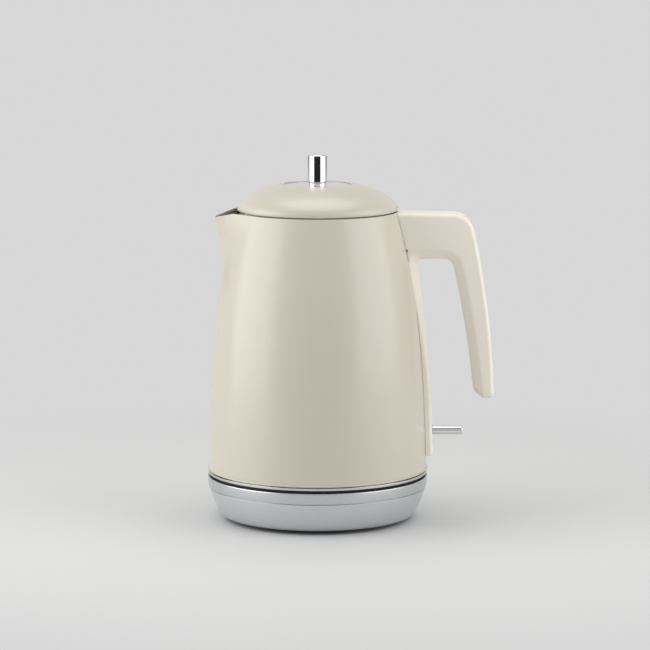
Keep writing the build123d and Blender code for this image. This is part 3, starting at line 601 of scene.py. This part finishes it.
gripSet = {"half": 12.5, "armTop": 217.5, "armStep": (14, 0.25), "wallGap": 0.18,
           "corner": (107.0, 216.6), "cornerCut": 12.0, "cornerEase": 0.97, "cornerLift": 0.17,
           "outMid": (118.7, 154.7), "outEnd": (124.1, 86.9), "tipCut": 3.7, "heel": 7.4,
           "inEnd": (110.4, 86.9), "inMid": (104.1, 136.7), "inTop": (94.2, 185.2),
           "loopRound": 7.0, "loopGap": 6, "parting": 6.8, "wallReach": 0.6,
           "rim": 2.8, "rimSteps": 6, "cuts": (-8.4, -4.2, 0, 4.2, 8.4), "cutNear": 0.001,
           "rows": {"corner": 13, "outer": 22, "heel": 5, "inner": 16, "bend": 9, "wall": 7}}
gripOut = arcThrough(gripSet["corner"], gripSet["outMid"], gripSet["outEnd"])
gripIn = arcThrough(gripSet["inEnd"], gripSet["inMid"], gripSet["inTop"])
seamHeight = gripSet["inTop"][1] + gripSet["parting"]


def wallX(z, y):
    return math.sqrt((wallRadius(z) + gripSet["wallGap"]) ** 2 - y * y)


def heelRise(depth):
    heel = gripSet["heel"]
    return heel - math.sqrt(heel ** 2 - max(0.0, heel - depth) ** 2)


def loopCentre():
    z = gripSet["inTop"][1] - gripSet["loopRound"]
    return arcX(gripIn, z, -gripSet["loopRound"]), z


def loopTurns(count):
    # angles round the loop, from the grip's finger face to the underside of the arm
    cx, cz = loopCentre()
    return rowBetween(math.atan2(cz - gripIn[1], cx - gripIn[0]), math.pi / 2, count)


def shellOutline():
    g, rows = gripSet, gripSet["rows"]
    top, (cornerX, cornerZ), tip = g["armTop"], g["corner"], g["outEnd"]
    back, cut, parting = g["cornerCut"], g["tipCut"], g["parting"]
    heights = rowBetween(cornerZ - back * g["cornerEase"], tip[1] + cut, rows["outer"])
    outer = [(arcX(gripOut, z), z) for z in heights]
    cx, cz = loopCentre()
    reach = g["loopRound"] + parting
    bend = [(cx + reach * math.cos(a), cz + reach * math.sin(a)) for a in loopTurns(rows["bend"])]
    heel = [(arcX(gripIn, tip[1], depth), tip[1] + heelRise(depth))
            for depth in rowBetween(g["heel"], parting, rows["heel"])]
    heights = rowBetween(heel[-1][1], bend[0][1] - g["loopGap"], rows["inner"])
    inner = [(arcX(gripIn, z, parting), z) for z in heights]
    root = wallX(top, 0)
    outline = [(root, top), (root + g["armStep"][0], top - g["armStep"][1])]
    outline += softCorner((cornerX - back, cornerZ + g["cornerLift"]), (cornerX, cornerZ),
                          outer[0], rows["corner"])
    outline += outer[1:-1]
    outline += softCorner(outer[-1], tip, (tip[0] - cut, tip[1]))[:-1]
    outline += heel[:-1] + inner + bend
    return outline + [(wallX(z, 0), z) for z in rowBetween(seamHeight, top, rows["wall"])[:-1]]


def onRim(v):
    # vertices of the outer face's rim, clear of the parting line and of the jug's wall
    inner = arcX(gripIn, min(v.co.z, seamHeight), gripSet["parting"])
    outside = v.co.x > inner + clear or v.co.z > seamHeight + clear
    return outside and abs(abs(v.co.y) - gripSet["half"]) < near


def offWall(e):
    return max(v.co.x - wallX(v.co.z, 0) for v in e.verts) > clear


def makeGripShell():
    half = gripSet["half"]
    bm = bmesh.new()
    face = bm.faces.new([bm.verts.new((x, -half, z)) for x, z in shellOutline()])
    grown = bmesh.ops.extrude_face_region(bm, geom=[face])["geom"]
    moved = [v for v in grown if isinstance(v, bmesh.types.BMVert)]
    bmesh.ops.translate(bm, vec=(0, 2 * half, 0), verts=moved)
    for y in gripSet["cuts"]:
        bmesh.ops.bisect_plane(bm, geom=bm.verts[:] + bm.edges[:] + bm.faces[:],
                               dist=gripSet["cutNear"], plane_co=(0, y, 0), plane_no=(0, 1, 0))
    rim = [e for e in bm.edges if onRim(e.verts[0]) and onRim(e.verts[1]) and offWall(e)]
    bevelEdges(bm, rim, gripSet["rim"], gripSet["rimSteps"], False)
    for v in bm.verts:
        if v.co.x < wallX(v.co.z, 0) + gripSet["wallReach"]:
            v.co.x = wallX(v.co.z, v.co.y)
    finishPiece(bm, "gripShell", "jug", "cream_plastic", ["handle_cap"])


# a section's face is half its flat width, half its full width and the depth between them
stripSet = {"out": 4.7, "low": 45.2, "lowRound": 1.5, "rootRound": 3.4, "settle": 84.0,
            "gripFace": (9.5, 12.5, 6.0), "stripFace": (7.6, 9.0, 1.7), "soft": 0.9,
            "softRows": 6, "side": 0.75, "deepest": 14, "depthStep": 0.05,
            "slot": (55.3, 66.5), "slotHalf": 4.6, "slotStep": 2.8, "underSlot": 51.0,
            "heelRound": 2.6, "heelSteps": 5, "heelHeight": 15, "heelShares": (0, 0.3, 0.65, 1.0),
            "gripEnds": 5, "armEnds": (3, 1.5), "wallStart": 4,
            "rows": {"grip": 16, "bend": 10, "arm": 5, "wall": 26, "slot": 4, "end": 5}}


def sectionRow(share):
    # half of the inner moulding's section, as (depth, side) from the finger face outwards
    ends = zip(stripSet["gripFace"], stripSet["stripFace"])
    flat, full, slope = (a + (b - a) * share for a, b in ends)
    soft, count = stripSet["soft"], stripSet["softRows"]
    run = Vector((slope, full - flat)).normalized() * soft
    first = softCorner((0, flat - soft), (0, flat), (run.x, flat + run.y), count)
    second = softCorner((slope - run.x, full - run.y), (slope, full),
                        (slope + stripSet["side"], full), count)
    return [(0, stripSet["slotHalf"])] + first + second


def heelPlace(share):
    def place(depth):
        low = gripSet["inEnd"][1] + heelRise(depth)
        z = low + (gripSet["inEnd"][1] + stripSet["heelHeight"] - low) * share
        return arcX(gripIn, z, depth), z
    return place


def gripPlace(z):
    return lambda depth: (arcX(gripIn, z, depth), z)


def bendPlace(x, z, radius, angle):
    return lambda depth: (x + (radius + depth) * math.cos(angle),
                          z + (radius + depth) * math.sin(angle))


def armPlace(x):
    return lambda depth: (x, gripSet["inTop"][1] + depth)


def wallPlace(z):
    tilt = wallTilt(z)
    return lambda depth: (wallRadius(z) + stripSet["out"] - depth * math.cos(tilt),
                          z - depth * math.sin(tilt))


def gripStations():
    # each station is the place of a depth, the share of the strip's section and an inset:
    # they go up the grip, round the loop and down the wall
    s, rows, under = stripSet, stripSet["rows"], gripSet["inTop"][1]
    cx, cz = loopCentre()
    gripLow = gripSet["inEnd"][1] + s["heelHeight"] + s["gripEnds"]
    # the inner corner where the arm meets the wall
    lean, rootRound = wallTilt(under), s["rootRound"]
    rz = under - rootRound
    rx = wallRadius(rz) + s["out"] + rootRound / math.cos(lean)
    places = [heelPlace(share) for share in s["heelShares"]]
    places += [gripPlace(z) for z in rowBetween(gripLow, cz - s["gripEnds"], rows["grip"])]
    places += [bendPlace(cx, cz, gripSet["loopRound"], a) for a in loopTurns(rows["bend"])]
    armRow = rowBetween(cx - s["armEnds"][0], rx + s["armEnds"][1], rows["arm"])
    places += [armPlace(x) for x in armRow]
    rootTurns = rowBetween(math.pi / 2, math.pi + lean, rows["bend"])
    places += [bendPlace(rx, rz, rootRound, a) for a in rootTurns]
    stations = [(place, 0.0, 0.0) for place in places]
    low, high = s["slot"]
    heights = rowBetween(rz - s["wallStart"], high, rows["wall"])
    heights += rowBetween(high - s["slotStep"], low, rows["slot"]) + [s["underSlot"]]
    downs = [(z, 0.0) for z in heights]
    downs += [(s["low"] + s["lowRound"] * (1 - math.sin(a)), s["lowRound"] * (1 - math.cos(a)))
              for a in rowBetween(0, math.pi / 2, rows["end"])]
    for z, inset in downs:
        share = min(1.0, max(0.0, (rz - z) / (rz - s["settle"])))
        stations.append((wallPlace(z), share * share * (3 - 2 * share), inset))
    return stations


def backPlace(place, side):
    # carry on inwards until the outer moulding or the jug's wall is met
    depth = 0.0
    onGrip = place(0.0)[0] > loopCentre()[0]
    while depth < stripSet["deepest"]:
        x, z = place(depth)
        atShell = onGrip and depth >= gripSet["parting"]
        if atShell or z >= seamHeight or x <= wallX(z, side):
            break
        depth += stripSet["depthStep"]
    return x, z


def sectionPlaces(place, share, inset):
    half = [(*place(depth + inset), side - inset * (i > 0))
            for i, (depth, side) in enumerate(sectionRow(share))]
    half += [(*backPlace(place, side), side) for side in (half[-1][2], stripSet["slotHalf"])]
    loop = half + [(x, z, -side) for x, z, side in reversed(half)]
    return [Vector((x, side, z)) for x, z, side in loop]


def inSlot(face):
    low, high = stripSet["slot"]
    narrow = all(abs(v.co.y) < stripSet["slotHalf"] + near for v in face.verts)
    return narrow and low < face.calc_center_median().z < high


def makeGripLiner():
    stations = gripStations()
    bm = bmesh.new()
    row = bm.verts.layers.int.new("row")
    level = bm.verts.layers.int.new("level")
    ring = [bm.verts.new(p) for p in sectionPlaces(*stations[0])]
    for i, v in enumerate(ring):
        v[row] = i
    edges = [bm.edges.new(pair) for pair in zip(ring, ring[1:] + ring[:1])]
    for count, station in enumerate(stations[1:], 1):
        places = sectionPlaces(*station)
        grown = bmesh.ops.extrude_edge_only(bm, edges=edges)["geom"]
        edges = [e for e in grown if isinstance(e, bmesh.types.BMEdge) and e.is_boundary]
        for v in grown:
            if isinstance(v, bmesh.types.BMVert):
                v.co = places[v[row]]
                v[level] = count
    half = len(ring) // 2

    def endEdges(last):
        # one end's edges, without the two that cross the middle
        ends = [e for e in bm.edges if all(v[level] == last for v in e.verts)]
        return [e for e in ends if (e.verts[0][row] < half) == (e.verts[1][row] < half)]

    for last in (0, len(stations) - 1):
        bmesh.ops.bridge_loops(bm, edges=[e for e in endEdges(last) if e.is_boundary])
    bmesh.ops.recalc_face_normals(bm, faces=bm.faces)
    # opening for the switch, from the strip's face through to the wall
    bmesh.ops.delete(bm, geom=[f for f in bm.faces if inSlot(f)], context="FACES")
    bmesh.ops.bridge_loops(bm, edges=[e for e in bm.edges if e.is_boundary])
    # soft edge round the heel
    middles = (0, half - 1, half, 2 * half - 1)
    heel = [e for e in endEdges(0) if not any(v[row] in middles for v in e.verts)]
    bevelEdges(bm, heel, stripSet["heelRound"], stripSet["heelSteps"], False)
    finishPiece(bm, "gripLiner", "jug", "cream_plastic", ["handle_frame"])


makeGripShell()
makeGripLiner()


# switch rod

rodSet = {"radius": 3.05, "from": 75.2, "to": 102.6, "height": 62.0, "round": 0.7,
          "flat": 0.5, "loops": (0.6, 0.2), "turns": 48}


def makeSwitchRod():
    r, length = rodSet["radius"], rodSet["to"] - rodSet["from"]
    outline = [(0, length), (r * rodSet["flat"], length), (r, length, rodSet["round"])]
    outline += [(r, length * share) for share in rodSet["loops"]] + [(r, 0), (0, 0)]
    bm = spinOutline(outline, rodSet["turns"], closed=False)
    lay = Matrix.Rotation(math.pi / 2, 3, "Y")
    bmesh.ops.rotate(bm, verts=bm.verts, cent=(0, 0, 0), matrix=lay)
    bmesh.ops.translate(bm, verts=bm.verts, vec=(rodSet["from"], 0, rodSet["height"]))
    finishPiece(bm, "switchRod", "switch", "chrome", ["switch_rod"])


makeSwitchRod()


# floor, lights and camera

stageSet = {"radius": 20.0, "tone": (0.63, 0.63, 0.625, 1), "pale": 0.68,
            "near": 0.20, "far": 0.52, "cardTone": (0.01, 0.01, 0.01, 1),
            "cards": {"frontCard": {"at": (0, -1.5, 0.12), "size": (2.4, 0.22)},
                      "backCard": {"at": (0, 1.1, 0.16), "size": (2.6, 0.08)}}}


def backgroundRays(tree):
    # 1 for the rays that show the background itself, 0 for the rays that carry light
    path = addNode(tree, "ShaderNodeLightPath")
    first = addNode(tree, "ShaderNodeMath", operation="ADD")
    both = addNode(tree, "ShaderNodeMath", operation="ADD", use_clamp=True)
    tree.links.new(path.outputs["Is Camera Ray"], first.inputs[0])
    tree.links.new(path.outputs["Is Glossy Ray"], first.inputs[1])
    tree.links.new(first.outputs[0], both.inputs[0])
    tree.links.new(path.outputs["Is Transmission Ray"], both.inputs[1])
    return both.outputs[0]


def stagePiece(bm, name, mat):
    mesh = bpy.data.meshes.new(name)
    bm.to_mesh(mesh)
    bm.free()
    mesh.materials.append(mat)
    piece = bpy.data.objects.new(name, mesh)
    scene.collection.objects.link(piece)
    return piece


def makeFloor():
    bm = bmesh.new()
    bmesh.ops.create_circle(bm, cap_ends=True, segments=64, radius=stageSet["radius"])
    mat, tree, bsdf = startFinish("paleFloor", {"Roughness": 0.6, "Base Color": stageSet["tone"]})
    # real shadows near the kettle, a plain pale tone further out
    place = addNode(tree, "ShaderNodeTexCoord")
    reach = addNode(tree, "ShaderNodeVectorMath", operation="LENGTH")
    ramp = addRamp(tree, stageSet["near"], stageSet["far"])
    share = addNode(tree, "ShaderNodeMath", operation="MULTIPLY")
    glow = addNode(tree, "ShaderNodeEmission")
    glow.inputs["Strength"].default_value = stageSet["pale"]
    mixed = addNode(tree, "ShaderNodeMixShader")
    link = tree.links.new
    link(place.outputs["Object"], reach.inputs[0])
    link(reach.outputs["Value"], ramp.inputs["Value"])
    link(ramp.outputs["Result"], share.inputs[0])
    link(backgroundRays(tree), share.inputs[1])
    link(share.outputs[0], mixed.inputs[0])
    link(bsdf.outputs[0], mixed.inputs[1])
    link(glow.outputs[0], mixed.inputs[2])
    link(mixed.outputs[0], tree.nodes["Material Output"].inputs["Surface"])
    stagePiece(bm, "floor", mat)


def makeCard(name, card):
    # a dark card, seen only as a dark line in the polished metal
    bm = bmesh.new()
    bmesh.ops.create_grid(bm, x_segments=1, y_segments=1, size=0.5)
    bmesh.ops.scale(bm, vec=(*card["size"], 1), verts=bm.verts)
    upright = Matrix.Rotation(-math.pi / 2, 3, "X")
    bmesh.ops.rotate(bm, verts=bm.verts, cent=(0, 0, 0), matrix=upright)
    bmesh.ops.translate(bm, verts=bm.verts, vec=card["at"])
    mat = startFinish(name, {"Roughness": 0.9, "Base Color": stageSet["cardTone"]})[0]
    piece = stagePiece(bm, name, mat)
    piece.visible_camera = False
    piece.visible_diffuse = False
    piece.visible_shadow = False


lamps = {
    "sideLeft": {"at": (-0.88, -0.20, 0.43), "aim": (0, 0, 0.13),
                 "size": (1.0, 0.9), "watts": 6.9},
    "sideRight": {"at": (0.84, -0.30, 0.42), "aim": (0.02, 0, 0.13),
                  "size": (0.95, 0.8), "watts": 4.7},
    "topSoft": {"at": (0.0, 0.15, 1.3), "aim": (0, 0, 0.1),
                "size": (0.9, 0.9), "watts": 5.4},
}


def makeLamp(name, lamp):
    data = bpy.data.lights.new(name, "AREA")
    data.shape = "RECTANGLE"
    data.size, data.size_y = lamp["size"]
    data.energy = lamp["watts"]
    ob = bpy.data.objects.new(name, data)
    ob.location = lamp["at"]
    aim = Vector(lamp["aim"]) - Vector(lamp["at"])
    ob.rotation_euler = aim.to_track_quat("-Z", "Y").to_euler()
    ob.visible_camera = False
    scene.collection.objects.link(ob)


roomSet = {"front": 0.51, "sides": 0.56, "frontFrom": -0.9, "frontTo": -0.1,
           "overhead": 0.32, "riseFrom": 0.22, "riseTo": 0.75}


def makeRoom():
    world = bpy.data.worlds.new("softRoom")
    world.use_nodes = True
    tree = world.node_tree
    back = tree.nodes["Background"]
    back.inputs["Color"].default_value = (1, 1, 1, 1)
    place = addNode(tree, "ShaderNodeTexCoord")
    parts = addNode(tree, "ShaderNodeSeparateXYZ")
    # the room's light is dim in front and paler to the sides and behind
    light = addRamp(tree, roomSet["frontFrom"], roomSet["frontTo"])
    light.inputs["To Min"].default_value = roomSet["front"]
    light.inputs["To Max"].default_value = roomSet["sides"]
    # the background itself is pale low down and dimmer overhead, which the polished metal shows
    shown = addRamp(tree, roomSet["riseFrom"], roomSet["riseTo"])
    shown.inputs["To Min"].default_value = stageSet["pale"]
    shown.inputs["To Max"].default_value = roomSet["overhead"]
    level = addNode(tree, "ShaderNodeMix", data_type="FLOAT")
    link = tree.links.new
    link(place.outputs["Generated"], parts.inputs["Vector"])
    link(parts.outputs["Y"], light.inputs["Value"])
    link(parts.outputs["Z"], shown.inputs["Value"])
    link(backgroundRays(tree), level.inputs["Factor"])
    link(light.outputs["Result"], level.inputs[2])
    link(shown.outputs["Result"], level.inputs[3])
    link(level.outputs[0], back.inputs["Strength"])
    scene.world = world


cameraSet = {"at": (0.00533, -2.3, 0.4668), "down": 0.142347, "lens": 182.716,
             "sensor": 36, "clip": 50}


def makeCamera():
    data = bpy.data.cameras.new("photoView")
    data.lens = cameraSet["lens"]
    data.sensor_width = cameraSet["sensor"]
    data.clip_end = cameraSet["clip"]
    ob = bpy.data.objects.new("photoView", data)
    ob.location = cameraSet["at"]
    ob.rotation_euler = (math.pi / 2 - cameraSet["down"], 0, 0)
    scene.collection.objects.link(ob)
    scene.camera = ob


makeFloor()
for name, card in stageSet["cards"].items():
    makeCard(name, card)
for name, lamp in lamps.items():
    makeLamp(name, lamp)
makeRoom()
makeCamera()
scene.view_settings.view_transform = "Standard"
print("stage, lamps and camera ready")
